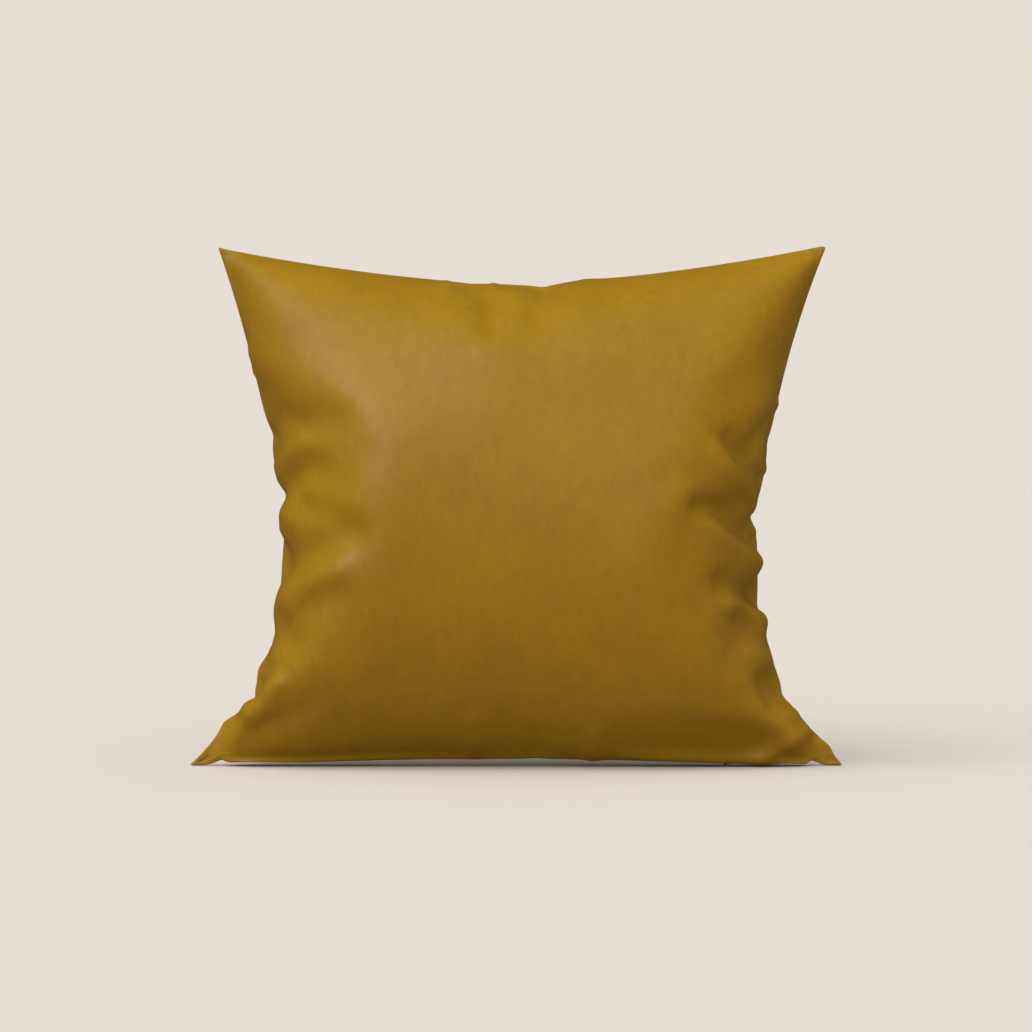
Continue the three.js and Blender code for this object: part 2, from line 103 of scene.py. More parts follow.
def makeStudio():
    bm = bmesh.new()
    bmesh.ops.create_grid(bm, x_segments=1, y_segments=1, size=60)
    data = bpy.data.meshes.new("floor")
    bm.to_mesh(data)
    bm.free()
    floor = bpy.data.objects.new("floor", data)
    scene.collection.objects.link(floor)
    material, nodes, links, shader = newMaterial("floorPaint")
    shader.inputs["Roughness"].default_value = 1
    shader.inputs["Specular IOR Level"].default_value = 0
    seenBy = nodes.new("ShaderNodeLightPath")
    paint = nodes.new("ShaderNodeMix")
    paint.data_type = "RGBA"
    paint.inputs["A"].default_value = (*(studio["floorBounce"] * part for part in studio["floorColour"]), 1)
    paint.inputs["B"].default_value = (*studio["floorColour"], 1)
    links.new(seenBy.outputs["Is Camera Ray"], paint.inputs["Factor"])
    links.new(paint.outputs["Result"], shader.inputs["Base Color"])
    data.materials.append(material)
    floor.visible_glossy = False
    floor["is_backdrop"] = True

    world = bpy.data.worlds.new("studio")
    scene.world = world
    world.use_nodes = True
    nodes, links = world.node_tree.nodes, world.node_tree.links
    background = nodes["Background"]
    background.inputs["Color"].default_value = (1.0, 0.985, 0.965, 1)
    background.inputs["Strength"].default_value = studio["ambient"]
    seen = nodes.new("ShaderNodeBackground")
    seen.inputs["Color"].default_value = (*studio["backdrop"], 1)
    mirrored = nodes.new("ShaderNodeBackground")
    mirrored.inputs["Strength"].default_value = studio["glossAmbient"]
    rays = nodes.new("ShaderNodeLightPath")
    shown = background.outputs["Background"]
    for ray, other in (("Is Glossy Ray", mirrored), ("Is Camera Ray", seen)):
        mix = nodes.new("ShaderNodeMixShader")
        links.new(rays.outputs[ray], mix.inputs["Fac"])
        links.new(shown, mix.inputs[1])
        links.new(other.outputs["Background"], mix.inputs[2])
        shown = mix.outputs["Shader"]
    links.new(shown, nodes["World Output"].inputs["Surface"])

    for name in ("key", "gloss"):  # the second light only gives the broad highlight
        light = bpy.data.lights.new(name, "SUN")
        light.energy = studio[name + "Strength"]
        light.angle = math.radians(studio[name + "Spread"])
        light.color = (1.0, 0.985, 0.96)
        lamp = bpy.data.objects.new(name, light)
        scene.collection.objects.link(lamp)
        lamp.rotation_euler = Vector(studio[name + "From"]).to_track_quat("Z", "Y").to_euler()
        lamp.visible_diffuse = name == "key"
        lamp.visible_glossy = name == "gloss"
    scene.view_settings.view_transform = "Standard"


makeCamera()
makeStudio()
print("studio ready")


# The velvet: a broken-up nap in three sizes, put out as a shade and a height.
def napGroup():
    group = bpy.data.node_groups.new("nap", "ShaderNodeTree")
    group.interface.new_socket("Vector", in_out="INPUT", socket_type="NodeSocketVector")
    clouds = group.interface.new_socket("Clouds", in_out="INPUT", socket_type="NodeSocketFloat")
    clouds.default_value = 16
    group.interface.new_socket("Shade", in_out="OUTPUT", socket_type="NodeSocketFloat")
    group.interface.new_socket("Height", in_out="OUTPUT", socket_type="NodeSocketFloat")
    nodes, links = group.nodes, group.links
    inputs, outputs = nodes.new("NodeGroupInput"), nodes.new("NodeGroupOutput")
    cloud = nodes.new("ShaderNodeTexNoise")
    cloud.inputs["Detail"].default_value = 4
    cloud.inputs["Roughness"].default_value = 0.62
    streakMap = nodes.new("ShaderNodeMapping")
    streakMap.inputs["Scale"].default_value = (1, 1, 0.42)
    streak = nodes.new("ShaderNodeTexNoise")
    streak.inputs["Scale"].default_value = 210
    streak.inputs["Detail"].default_value = 3
    streak.inputs["Distortion"].default_value = 0.6
    pile = nodes.new("ShaderNodeTexNoise")
    pile.inputs["Scale"].default_value = 1500
    pile.inputs["Detail"].default_value = 1
    links.new(inputs.outputs["Vector"], cloud.inputs["Vector"])
    links.new(inputs.outputs["Clouds"], cloud.inputs["Scale"])
    links.new(inputs.outputs["Vector"], streakMap.inputs["Vector"])
    links.new(streakMap.outputs["Vector"], streak.inputs["Vector"])
    links.new(inputs.outputs["Vector"], pile.inputs["Vector"])

    def weighted(first, second, share):
        mix = nodes.new("ShaderNodeMix")
        mix.inputs["Factor"].default_value = share
        links.new(first, mix.inputs["A"])
        links.new(second, mix.inputs["B"])
        return mix.outputs["Result"]

    shade = weighted(cloud.outputs["Fac"], streak.outputs["Fac"], 0.42)
    shade = weighted(shade, pile.outputs["Fac"], 0.18)
    height = weighted(streak.outputs["Fac"], pile.outputs["Fac"], 0.6)
    links.new(shade, outputs.inputs["Shade"])
    links.new(height, outputs.inputs["Height"])
    return group


# A plain weave: threads across and along, put out as a shade and a height.
def weaveGroup():
    group = bpy.data.node_groups.new("weave", "ShaderNodeTree")
    group.interface.new_socket("Vector", in_out="INPUT", socket_type="NodeSocketVector")
    pitch = group.interface.new_socket("Threads", in_out="INPUT", socket_type="NodeSocketFloat")
    pitch.default_value = 400
    group.interface.new_socket("Shade", in_out="OUTPUT", socket_type="NodeSocketFloat")
    group.interface.new_socket("Height", in_out="OUTPUT", socket_type="NodeSocketFloat")
    nodes, links = group.nodes, group.links
    inputs, outputs = nodes.new("NodeGroupInput"), nodes.new("NodeGroupOutput")
    waves = []
    for direction in ("X", "Z"):
        wave = nodes.new("ShaderNodeTexWave")
        wave.bands_direction = direction
        wave.inputs["Distortion"].default_value = 1.2
        wave.inputs["Detail"].default_value = 1
        wave.inputs["Detail Scale"].default_value = 2
        links.new(inputs.outputs["Vector"], wave.inputs["Vector"])
        links.new(inputs.outputs["Threads"], wave.inputs["Scale"])
        waves.append(wave)
    crossed = nodes.new("ShaderNodeMath")
    crossed.operation = "MULTIPLY"
    links.new(waves[0].outputs["Fac"], crossed.inputs[0])
    links.new(waves[1].outputs["Fac"], crossed.inputs[1])
    slub = nodes.new("ShaderNodeTexNoise")
    slub.inputs["Scale"].default_value = 60
    links.new(inputs.outputs["Vector"], slub.inputs["Vector"])
    shade = nodes.new("ShaderNodeMix")
    shade.inputs["Factor"].default_value = 0.5
    links.new(crossed.outputs["Value"], shade.inputs["A"])
    links.new(slub.outputs["Fac"], shade.inputs["B"])
    links.new(shade.outputs["Result"], outputs.inputs["Shade"])
    links.new(crossed.outputs["Value"], outputs.inputs["Height"])
    return group


# Handling marks on cast metal, put out as a shade and a height.
def tumbleGroup():
    group = bpy.data.node_groups.new("tumble", "ShaderNodeTree")
    group.interface.new_socket("Vector", in_out="INPUT", socket_type="NodeSocketVector")
    group.interface.new_socket("Shade", in_out="OUTPUT", socket_type="NodeSocketFloat")
    group.interface.new_socket("Height", in_out="OUTPUT", socket_type="NodeSocketFloat")
    nodes, links = group.nodes, group.links
    inputs, outputs = nodes.new("NodeGroupInput"), nodes.new("NodeGroupOutput")
    cast = nodes.new("ShaderNodeTexNoise")
    cast.inputs["Scale"].default_value = 900
    cast.inputs["Detail"].default_value = 5
    cells = nodes.new("ShaderNodeTexVoronoi")
    cells.inputs["Scale"].default_value = 700
    links.new(inputs.outputs["Vector"], cast.inputs["Vector"])
    links.new(inputs.outputs["Vector"], cells.inputs["Vector"])
    links.new(cast.outputs["Fac"], outputs.inputs["Shade"])
    links.new(cells.outputs["Distance"], outputs.inputs["Height"])
    return group


groups = {"nap": napGroup(), "weave": weaveGroup(), "tumble": tumbleGroup()}


# A finish: an effect group drives the colour between two tones, the roughness between two values, and the
# bump.
def makeFinish(name, effect, tones, roughness, bump, sheen=None, metallic=0.0, settings=None, specular=0.5):
    material, nodes, links, shader = newMaterial(name)
    place = nodes.new("ShaderNodeTexCoord")
    pattern = nodes.new("ShaderNodeGroup")
    pattern.node_tree = groups[effect]
    for socket, value in (settings or {}).items():
        pattern.inputs[socket].default_value = value
    links.new(place.outputs["Object"], pattern.inputs["Vector"])
    colour = nodes.new("ShaderNodeValToRGB")
    ramp = colour.color_ramp
    ramp.elements[0].position, ramp.elements[1].position = 0.36, 0.64
    ramp.elements[0].color, ramp.elements[1].color = (*tones[0], 1), (*tones[1], 1)
    links.new(pattern.outputs["Shade"], colour.inputs["Fac"])
    links.new(colour.outputs["Color"], shader.inputs["Base Color"])
    gloss = nodes.new("ShaderNodeMapRange")
    gloss.inputs["To Min"].default_value, gloss.inputs["To Max"].default_value = roughness
    links.new(pattern.outputs["Shade"], gloss.inputs["Value"])
    links.new(gloss.outputs["Result"], shader.inputs["Roughness"])
    relief = nodes.new("ShaderNodeBump")
    relief.inputs["Strength"].default_value = bump[0]
    relief.inputs["Distance"].default_value = bump[1]
    links.new(pattern.outputs["Height"], relief.inputs["Height"])
    links.new(relief.outputs["Normal"], shader.inputs["Normal"])
    shader.inputs["Metallic"].default_value = metallic
    shader.inputs["Specular IOR Level"].default_value = specular
    if sheen:
        shader.inputs["Sheen Weight"].default_value = sheen[0]
        shader.inputs["Sheen Roughness"].default_value = sheen[1]
        shader.inputs["Sheen Tint"].default_value = (*sheen[2], 1)
    return material


finishes = {
    "velvet": makeFinish("mustardVelvet", "nap", ((0.330, 0.170, 0.0005), (0.408, 0.216, 0.0008)),
                         (0.53, 0.46), (0.25, 0.0006), sheen=(0.006, 0.2, (0.80, 0.72, 0.62)),
                         settings={"Clouds": 15}, specular=0.30),
    "cover_thread": makeFinish("mustardThread", "weave", ((0.24, 0.13, 0.004), (0.36, 0.21, 0.012)),
                               (0.7, 0.5), (0.3, 0.0002), settings={"Threads": 900}),
    "zip_tape": makeFinish("mustardTape", "weave", ((0.20, 0.115, 0.008), (0.29, 0.17, 0.015)), (0.9, 0.75),
                           (0.6, 0.0003), settings={"Threads": 520}),
    "zip_coil": makeFinish("mustardNylon", "tumble", ((0.26, 0.16, 0.014), (0.33, 0.205, 0.022)), (0.5, 0.38),
                           (0.1, 0.0001)),
    "zip_metal": makeFinish("antiqueZinc", "tumble", ((0.42, 0.30, 0.12), (0.56, 0.42, 0.19)), (0.5, 0.28),
                            (0.12, 0.00015), metallic=1.0),
    "ticking": makeFinish("whiteTicking", "weave", ((0.76, 0.74, 0.70), (0.86, 0.85, 0.82)), (0.95, 0.85),
                          (0.4, 0.0003), settings={"Threads": 460}),
    "insert_thread": makeFinish("whiteThread", "weave", ((0.80, 0.79, 0.76), (0.90, 0.89, 0.87)), (0.75, 0.6),
                                (0.3, 0.0002), settings={"Threads": 900}),
    "label": makeFinish("whiteSatin", "weave", ((0.80, 0.79, 0.76), (0.90, 0.89, 0.87)), (0.55, 0.42),
                        (0.35, 0.0002), settings={"Threads": 700}),
    "fibre": makeFinish("polyesterFibre", "nap", ((0.84, 0.84, 0.82), (0.94, 0.94, 0.93)), (1.0, 0.9),
                        (0.8, 0.002), settings={"Clouds": 60}, sheen=(0.3, 0.5, (1, 1, 1))),
}
print("finishes ready")


# Puts a finished mesh in the scene as a named piece that rides on a body and takes a slot's finish.
def addPiece(name, data, body, slot, *nodes):
    piece = bpy.data.objects.new(name, data)
    scene.collection.objects.link(piece)
    data.materials.clear()
    data.materials.append(finishes[slot])
    for face in data.polygons:
        face.use_smooth = True
    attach(piece, body)
    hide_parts(*nodes)
    return piece


def meshFrom(bm, name):
    data = bpy.data.meshes.new(name)
    bm.to_mesh(data)
    bm.free()
    return data


def ease(share):
    share = min(max(share, 0.0), 1.0)
    return share * share * (3 - 2 * share)


# The filled cover's outline from the front. Each side draws in to its waist and is nicked where it folds:
# a nick is (height, depth, width), and a nick below zero is a bulge.
outline = {
    "tip": cadHigh.x,
    "cornerHeight": cadHigh.z + 0.0005,
    "left": {"waistHeight": 0.138, "waist": 0.1545, "top": 0.1956, "bend": 1.65,
             "nicks": [(0.218, 0.004, 0.008), (0.1786, 0.0065, 0.010), (0.150, 0.002, 0.012),
                       (0.088, 0.004, 0.006), (0.043, 0.0095, 0.007), (0.029, -0.0055, 0.008)]},
    "right": {"waistHeight": 0.135, "waist": 0.1595, "top": 0.2035, "bend": 1.85,
              "nicks": [(0.2134, 0.002, 0.006), (0.1654, 0.008, 0.009), (0.106, 0.0022, 0.010),
                        (0.0466, 0.005, 0.006), (0.014, -0.0045, 0.006)]},
    "topMiddle": 0.3172,
    "topNicks": [(0.0177, 0.003, 0.010), (0.046, -0.0015, 0.010), (-0.03, 0.001, 0.010)],
}

# The cover's cut and how it is sewn and filled. Its sides are cut a little hollow, so that the corners don't
# stand out too far.
cover = {
    "bottomCut": 0.432,
    "middleCut": 0.396,
    "topCut": 0.405,
    "sideCut": 0.400,
    "middleHeightCut": 0.384,
    "columns": 104,
    "rows": 92,
    "wall": 0.0012,
    "thread": 0.0003,  # how far the overlock stands off the cloth
    "allowance": 0.010,
    "seamGap": 0.00015,
    "shoulder": 0.0022,  # half the thickness of the rolled edge beside the seam
    "zipEnd": 0.815,  # shares of the half width where the groove round the zip begins to run out, and ends
    "grooveEnd": 0.955,
    "groove": [(0, 0.012), (0.0036, 0.0092), (0.0050, 0.0050), (0.0088, 0.0010)],
    "zipHalfOpening": 0.001,
    "frames": 45,
    "drawnIn": 20,
    "pressure": 30,
    "flatGap": 0.0008,  # from the middle to each panel before filling
    "seamHold": 0.2,
    "evened": 12,
    "arch": 0.0052,
    "archHalfLength": 0.135,
}


def sideReach(side, height):
    half = outline["left" if side < 0 else "right"]
    height = min(max(height, 0), outline["cornerHeight"])
    below, above = half["waistHeight"] - height, height - half["waistHeight"]
    if below > 0:
        reach = half["waist"] + (outline["tip"] - half["waist"]) * (below / half["waistHeight"]) ** 2.4
    else:
        span = outline["cornerHeight"] - half["waistHeight"]
        reach = half["waist"] + (half["top"] - half["waist"]) * (above / span) ** half["bend"]
    return reach - sum(depth * math.exp(-abs(height - at) / width) for at, depth, width in half["nicks"])


def topSeamHeight(x):
    share = min(abs(x) / ((outline["left"]["top"] + outline["right"]["top"]) / 2), 1)
    height = outline["topMiddle"] + (outline["cornerHeight"] - outline["topMiddle"]) * share ** 1.6
    return height - sum(depth * math.exp(-abs(x - at) / width) for at, depth, width in outline["topNicks"])


# A seam's path as points, and each point's share of its length.
def seamPath(points):
    points = np.array(points)
    lengths = np.hypot(*np.diff(points, axis=0).T)
    return points, np.concatenate([[0], np.cumsum(lengths)]) / lengths.sum()


def pathPoint(path, share):
    points, shares = path
    return np.interp(share, shares, points[:, 0]), np.interp(share, shares, points[:, 1])


steps = np.linspace(0, 1, 300)
sidePaths = {side: seamPath([(side * sideReach(side, h), h) for h in steps * outline["cornerHeight"]])
             for side in (-1, 1)}
topLength = outline["left"]["top"] + outline["right"]["top"]
topPath = seamPath([(x, topSeamHeight(x)) for x in -outline["left"]["top"] + steps * topLength])


# Both panels, cut flat and sewn together at their edges. Each vertex keeps which panel it is on and where.
def sewFlatCover():
    bm = bmesh.new()
    side = bm.verts.layers.float.new("side")
    across = bm.verts.layers.float.new("across")
    up = bm.verts.layers.float.new("up")
    bmesh.ops.create_grid(bm, x_segments=cover["columns"], y_segments=cover["rows"], size=1)
    for v in bm.verts:
        v[side] = -1
    back = bmesh.ops.duplicate(bm, geom=bm.verts[:] + bm.edges[:] + bm.faces[:])["geom"]
    bmesh.ops.reverse_faces(bm, faces=[part for part in back if isinstance(part, bmesh.types.BMFace)])
    for part in back:
        if isinstance(part, bmesh.types.BMVert):
            part[side] = 1
    for v in bm.verts:
        u, t = v.co.x, (v.co.y + 1) / 2
        v[across], v[up] = u, t
        hollow = (cover["bottomCut"] + cover["topCut"]) / 2 - cover["middleCut"]
        width = cover["bottomCut"] + (cover["topCut"] - cover["bottomCut"]) * t - 4 * t * (1 - t) * hollow
        height = cover["middleHeightCut"] + (cover["sideCut"] - cover["middleHeightCut"]) * u * u
        onSeam = abs(u) > 0.9999 or t < 1e-4 or t > 0.9999
        apart = 0 if onSeam else v[side] * cover["flatGap"]
        v.co = (u * width / 2, apart, (cover["sideCut"] - height) / 2 + t * height)
    bmesh.ops.remove_doubles(bm, verts=bm.verts[:], dist=1e-5)
    return meshFrom(bm, "flatCover")


def vertexValues(data, name):
    values = np.zeros(len(data.vertices))
    data.attributes[name].data.foreach_get("value", values)
    return values


def vertexPlaces(data):
    places = np.zeros(len(data.vertices) * 3)
    data.vertices.foreach_get("co", places)
    return places.reshape(-1, 3)


runOut = cover["grooveEnd"] - cover["zipEnd"]
grooveShare = np.vectorize(lambda u: ease((cover["grooveEnd"] - abs(u)) / runOut))


# Where the seams and the zip's groove are held, and how firmly: 1 is fixed, and a low value lets the seam
# pucker.
def heldPlaces(flat, side, u, t):
    places, firm = flat.copy(), np.zeros(len(flat))
    rowsUp = np.round(t * cover["rows"]).astype(int)
    share = grooveShare(u)
    for k in range(len(flat)):
        atSide = abs(u[k]) > 0.9999
        if atSide or t[k] > 0.9999:
            path, along = (sidePaths[-1 if u[k] < 0 else 1], t[k]) if atSide else (topPath, (u[k] + 1) / 2)
            x, z = pathPoint(path, along)
            nearFoot = ease(1 - t[k] / 0.16) if atSide else 0
            places[k], firm[k] = (x, 0, z), cover["seamHold"] + 0.7 * nearFoot
        if rowsUp[k] == 0:
            places[k], firm[k] = (u[k] * outline["tip"], 0, 0.0005 + 0.0115 * share[k]), 1
        elif rowsUp[k] < len(cover["groove"]) and not atSide and share[k] > 0.3:
            y, z = cover["groove"][rowsUp[k]]
            y, z = cover["zipHalfOpening"] + y * share[k], 0.0005 + z * share[k]
            places[k], firm[k] = (u[k] * outline["tip"], side[k] * y, z), 1
        if atSide and t[k] > 0.9999:
            firm[k] = 1
    return places, firm


# Fills the sewn cover: the seams are drawn in to the outline while air pressure swells the panels.
def fillCover(data):
    flat = vertexPlaces(data)
    side, u, t = (vertexValues(data, name) for name in ("side", "across", "up"))
    places, firm = heldPlaces(flat, side, u, t)
    piece = bpy.data.objects.new("fillingCover", data)
    scene.collection.objects.link(piece)
    piece.shape_key_add(name="flat")
    drawn = piece.shape_key_add(name="drawn")
    drawn.data.foreach_set("co", places.ravel())
    for value, at in ((0, 1), (1, cover["drawnIn"])):
        drawn.value = value
        drawn.keyframe_insert("value", frame=at)
    hold = piece.vertex_groups.new(name="hold")
    for k in np.nonzero(firm)[0]:
        hold.add([int(k)], float(firm[k]), "REPLACE")
    modifier = piece.modifiers.new("Cloth", "CLOTH")
    cloth = modifier.settings
    cloth.quality = 6
    cloth.mass = 0.01
    cloth.tension_stiffness = cloth.compression_stiffness = 80
    cloth.shear_stiffness = 20
    cloth.bending_stiffness = 3
    cloth.air_damping = 2
    cloth.use_pressure = True
    cloth.uniform_pressure_force = cover["pressure"]
    cloth.vertex_group_mass = "hold"
    cloth.effector_weights.gravity = 0
    modifier.collision_settings.use_collision = True
    modifier.collision_settings.distance_min = 0.001
    modifier.point_cache.frame_start, modifier.point_cache.frame_end = 1, cover["frames"] + 1
    bm = bmesh.new()
    bmesh.ops.create_grid(bm, x_segments=4, y_segments=4, size=0.5)
    bmesh.ops.translate(bm, verts=bm.verts[:], vec=(0, 0, -0.002))
    bench = bpy.data.objects.new("bench", meshFrom(bm, "bench"))
    scene.collection.objects.link(bench)
    bench.modifiers.new("Collision", "COLLISION")
    bench.collision.thickness_outer = 0.001
    bench.collision.cloth_friction = 2
    scene.frame_end = cover["frames"] + 1
    for at in range(1, cover["frames"] + 1):
        scene.frame_set(at)
    filled = vertexPlaces(piece.evaluated_get(bpy.context.evaluated_depsgraph_get()).data)
    bpy.data.objects.remove(bench)
    bpy.data.objects.remove(piece)
    scene.frame_set(1)
    return filled


# Lays the filled cover's seams on the outline and carries the panels with them: the broad part of the shift
# reaches far in, the nicks only a little way.
def followOutline(shape, u, t):
    columns = np.round((u + 1) / 2 * cover["columns"]).astype(int)
    rows = np.round(t * cover["rows"]).astype(int)
    shifts = {"left": np.zeros((cover["rows"] + 1, 3)), "right": np.zeros((cover["rows"] + 1, 3)),
              "top": np.zeros((cover["columns"] + 1, 3))}
    for k in range(len(shape)):
        if abs(u[k]) > 0.9999:
            x, z = pathPoint(sidePaths[-1 if u[k] < 0 else 1], t[k])
            shifts["left" if u[k] < 0 else "right"][rows[k]] = (x - shape[k][0], 0, z - shape[k][2])
        elif t[k] > 0.9999:
            x, z = pathPoint(topPath, (u[k] + 1) / 2)
            shifts["top"][columns[k]] = (x - shape[k][0], 0, z - shape[k][2])
    broad = {}
    for run, shift in shifts.items():
        smooth = shift
        for _ in range(12):
            inner = (smooth[:-2] + 2 * smooth[1:-1] + smooth[2:]) / 4
            smooth = np.concatenate([smooth[:1], inner, smooth[-1:]])
        broad[run] = smooth
    moved = shape.copy()
    for k in range(len(shape)):
        sideways = ("left" if u[k] < 0 else "right", rows[k], abs(u[k]))
        for run, at, toSeam in (sideways, ("top", columns[k], t[k])):
            nick = shifts[run][at] - broad[run][at]
            moved[k] += broad[run][at] * ease((toSeam - 0.35) / 0.65) + nick * ease((toSeam - 0.86) / 0.14)
    return moved


# Hollows the foot between the ears, so that the pillow stands on the two ends of its bottom edge.
def archFoot(shape, t):
    rowsUp = np.round(t * cover["rows"])
    for k in np.nonzero(rowsUp >= len(cover["groove"]) - 1)[0]:
        rise = cover["arch"] * max(0, 1 - (shape[k][0] / cover["archHalfLength"]) ** 2)
        if rowsUp[k] < len(cover["groove"]):
            rise *= 0.6
        shape[k][2] += rise * (1 - ease(shape[k][2] / 0.07))
    return shape


# Folds pressed into the front by handling: a line of (x, z) points, the rise and the width. A rise below zero
# is a hollow.
folds = [
    ([(-0.156, 0.197), (-0.139, 0.216)], 0.0028, 0.0065),
    ([(-0.153, 0.184), (-0.134, 0.200)], -0.0028, 0.0070),
    ([(-0.150, 0.166), (-0.135, 0.183)], 0.0030, 0.0070),
    ([(-0.150, 0.134), (-0.130, 0.146), (-0.108, 0.157)], -0.0058, 0.0120),
    ([(-0.157, 0.104), (-0.136, 0.123), (-0.116, 0.133)], 0.0044, 0.0110),
    ([(-0.174, 0.037), (-0.165, 0.043), (-0.157, 0.057)], 0.0055, 0.0065),
    ([(-0.172, 0.052), (-0.163, 0.066)], -0.0040, 0.0070),
    ([(0.139, 0.215), (0.150, 0.203), (0.162, 0.190)], -0.0075, 0.0085),
    ([(0.133, 0.211), (0.146, 0.194), (0.153, 0.181), (0.152, 0.168)], 0.0050, 0.0060),
    ([(0.120, 0.174), (0.140, 0.160), (0.157, 0.148)], -0.0055, 0.0075),
    ([(0.126, 0.164), (0.143, 0.149), (0.159, 0.134)], 0.0060, 0.0065),
    ([(0.136, 0.124), (0.150, 0.116), (0.159, 0.111)], -0.0060, 0.0075),
    ([(0.141, 0.110), (0.160, 0.097)], 0.0050, 0.0065),
    ([(0.151, 0.077), (0.172, 0.065)], 0.0040, 0.0070),
    ([(0.163, 0.058), (0.171, 0.042)], -0.0055, 0.0070),
    ([(0.158, 0.003), (0.175, 0.015), (0.192, 0.024)], 0.0045, 0.0055),
    ([(-0.014, 0.305), (-0.016, 0.292)], -0.0045, 0.0090),
    ([(0.017, 0.312), (0.014, 0.296)], -0.0030, 0.0080),
    ([(0.100, 0.196), (0.123, 0.190)], -0.0020, 0.0100),
    ([(-0.027, 0.010), (-0.028, 0.030)], 0.0020, 0.0060),
    ([(0.013, 0.008), (0.012, 0.018)], -0.0018, 0.0060),
    ([(0.050, 0.006), (0.051, 0.020)], 0.0020, 0.0060),
]


def offLine(place, line):
    nearest = 1.0
    for start, end in zip(line, line[1:]):
        start, end = Vector(start), Vector(end)
        share = (place - start).dot(end - start) / (end - start).length_squared
        nearest = min(nearest, (place - start.lerp(end, min(max(share, 0), 1))).length)
    return nearest


def pressFolds(data, shape, side, u, t):
    normals, _ = outsideOf(data, shape)
    pressed = shape.copy()
    for k in np.nonzero((side < 0) & (np.abs(u) < 0.9999) & (t < 0.9999) & (t > 1e-4))[0]:
        place = Vector((shape[k][0], shape[k][2]))
        rise = sum(high * math.exp(-(offLine(place, line) / width) ** 2) for line, high, width in folds)
        pressed[k] += normals[k] * rise * ease((1 - abs(u[k])) / 0.05) * ease(t[k] / 0.02)
    return pressed


# Evens out a shape: each free vertex moves towards the middle of its neighbours.
def evenOut(data, shape, free, rounds):
    ends = np.array([edge.vertices[:] for edge in data.edges])
    count = np.bincount(ends.ravel(), minlength=len(shape))[:, None]
    for _ in range(rounds):
        total = np.zeros_like(shape)
        np.add.at(total, ends[:, 0], shape[ends[:, 1]])
        np.add.at(total, ends[:, 1], shape[ends[:, 0]])
        shape = np.where(free[:, None], shape * 0.5 + total / count * 0.5, shape)
    return shape


def outsideOf(data, shape):
    bm = bmesh.new()
    bm.from_mesh(data)
    for k, v in enumerate(bm.verts):
        v.co = shape[k]
    bm.normal_update()
    normals = np.array([v.normal for v in bm.verts])
    tree = BVHTree.FromBMesh(bm)
    bm.free()
    return normals, tree


coverMesh = sewFlatCover()
coverShape = fillCover(coverMesh)
sideOf, acrossOf, upOf = (vertexValues(coverMesh, name) for name in ("side", "across", "up"))
free = (np.abs(acrossOf) < 0.9999) & (upOf < 0.9999) & (upOf > 4.5 / cover["rows"])
coverShape = followOutline(evenOut(coverMesh, coverShape, free, cover["evened"]), acrossOf, upOf)
tips = (np.abs(acrossOf) > 0.885) & (np.abs(acrossOf) < 0.9999) & (upOf > 1e-4) & (upOf < 0.13)
coverShape = evenOut(coverMesh, coverShape, tips, 40)
coverShape = archFoot(pressFolds(coverMesh, coverShape, sideOf, acrossOf, upOf), upOf)
coverShape[:, 2] = np.maximum(coverShape[:, 2], 0.0002)
print("cover filled, half thickness %.1f mm" % (1000 * coverShape[:, 1].max()))


# The seam's points in order round the pillow, counterclockwise from the front. Each has its place, the way
# into the pillow, the way to the front panel, the distance to the nearest corner, and its run.
def readSeam(data, shape):
    u, t = vertexValues(data, "across"), vertexValues(data, "up")
    runs = {
        "bottom": sorted(np.nonzero(t < 1e-4)[0], key=lambda k: u[k]),
        "right": sorted(np.nonzero(u > 0.9999)[0], key=lambda k: t[k]),
        "top": sorted(np.nonzero(t > 0.9999)[0], key=lambda k: -u[k]),
        "left": sorted(np.nonzero(u < -0.9999)[0], key=lambda k: -t[k]),
    }
    order = [(k, run) for run, line in runs.items() for k in line[:-1]]
    places = [Vector(shape[k]) for k, run in order]
    count = len(order)
    along = [0.0]
    for m in range(count):
        along.append(along[-1] + (places[(m + 1) % count] - places[m]).length)
    corners = [along[m] for m in range(count) if order[m][1] != order[m - 1][1]] + [along[-1]]
    seam = []
    for m, (k, run) in enumerate(order):
        tangent = (places[(m + 1) % count] - places[m - 1]).normalized()
        into = Vector((-tangent.z, 0, tangent.x)).normalized()
        seam.append({"vertex": int(k), "run": run, "place": places[m], "into": into,
                     "front": tangent.cross(into).normalized(), "groove": float(grooveShare(u[k])),
                     "toCorner": min(abs(along[m] - corner) for corner in corners)})
    return seam


def allowanceDepth(point, layer):
    return min(layer["allowance"], 0.0004 + 0.3 * point["toCorner"])


# A place on a panel's turned edge: depth into the pillow from the seam, and how far off the seam's middle.
def edgePlace(point, side, depth, off, layer):
    standing = point["place"] + point["into"] * depth - point["front"] * side * off
    lying = point["groove"] if point["run"] == "bottom" and "zipHalfOpening" in layer else 0
    if not lying:
        return standing
    flat = Vector((point["place"].x, side * (layer["zipHalfOpening"] + depth), point["place"].z))
    return standing.lerp(flat, lying)


# One more row along a panel's edge. rowVerts maps a seam vertex to the edge's vertex now.
def extrudeRow(bm, rowVerts, placeOf):
    ends = set(rowVerts.values())
    edges = [e for e in bm.edges if e.is_boundary and e.verts[0] in ends and e.verts[1] in ends]
    grown = bmesh.ops.extrude_edge_only(bm, edges=edges)["geom"]
    named = {v: k for k, v in rowVerts.items()}
    row = {}
    for v in grown:
        if isinstance(v, bmesh.types.BMVert):
            k = next(named[e.other_vert(v)] for e in v.link_edges if e.other_vert(v) in named)
            row[k] = v
            v.co = placeOf(k)
    return row


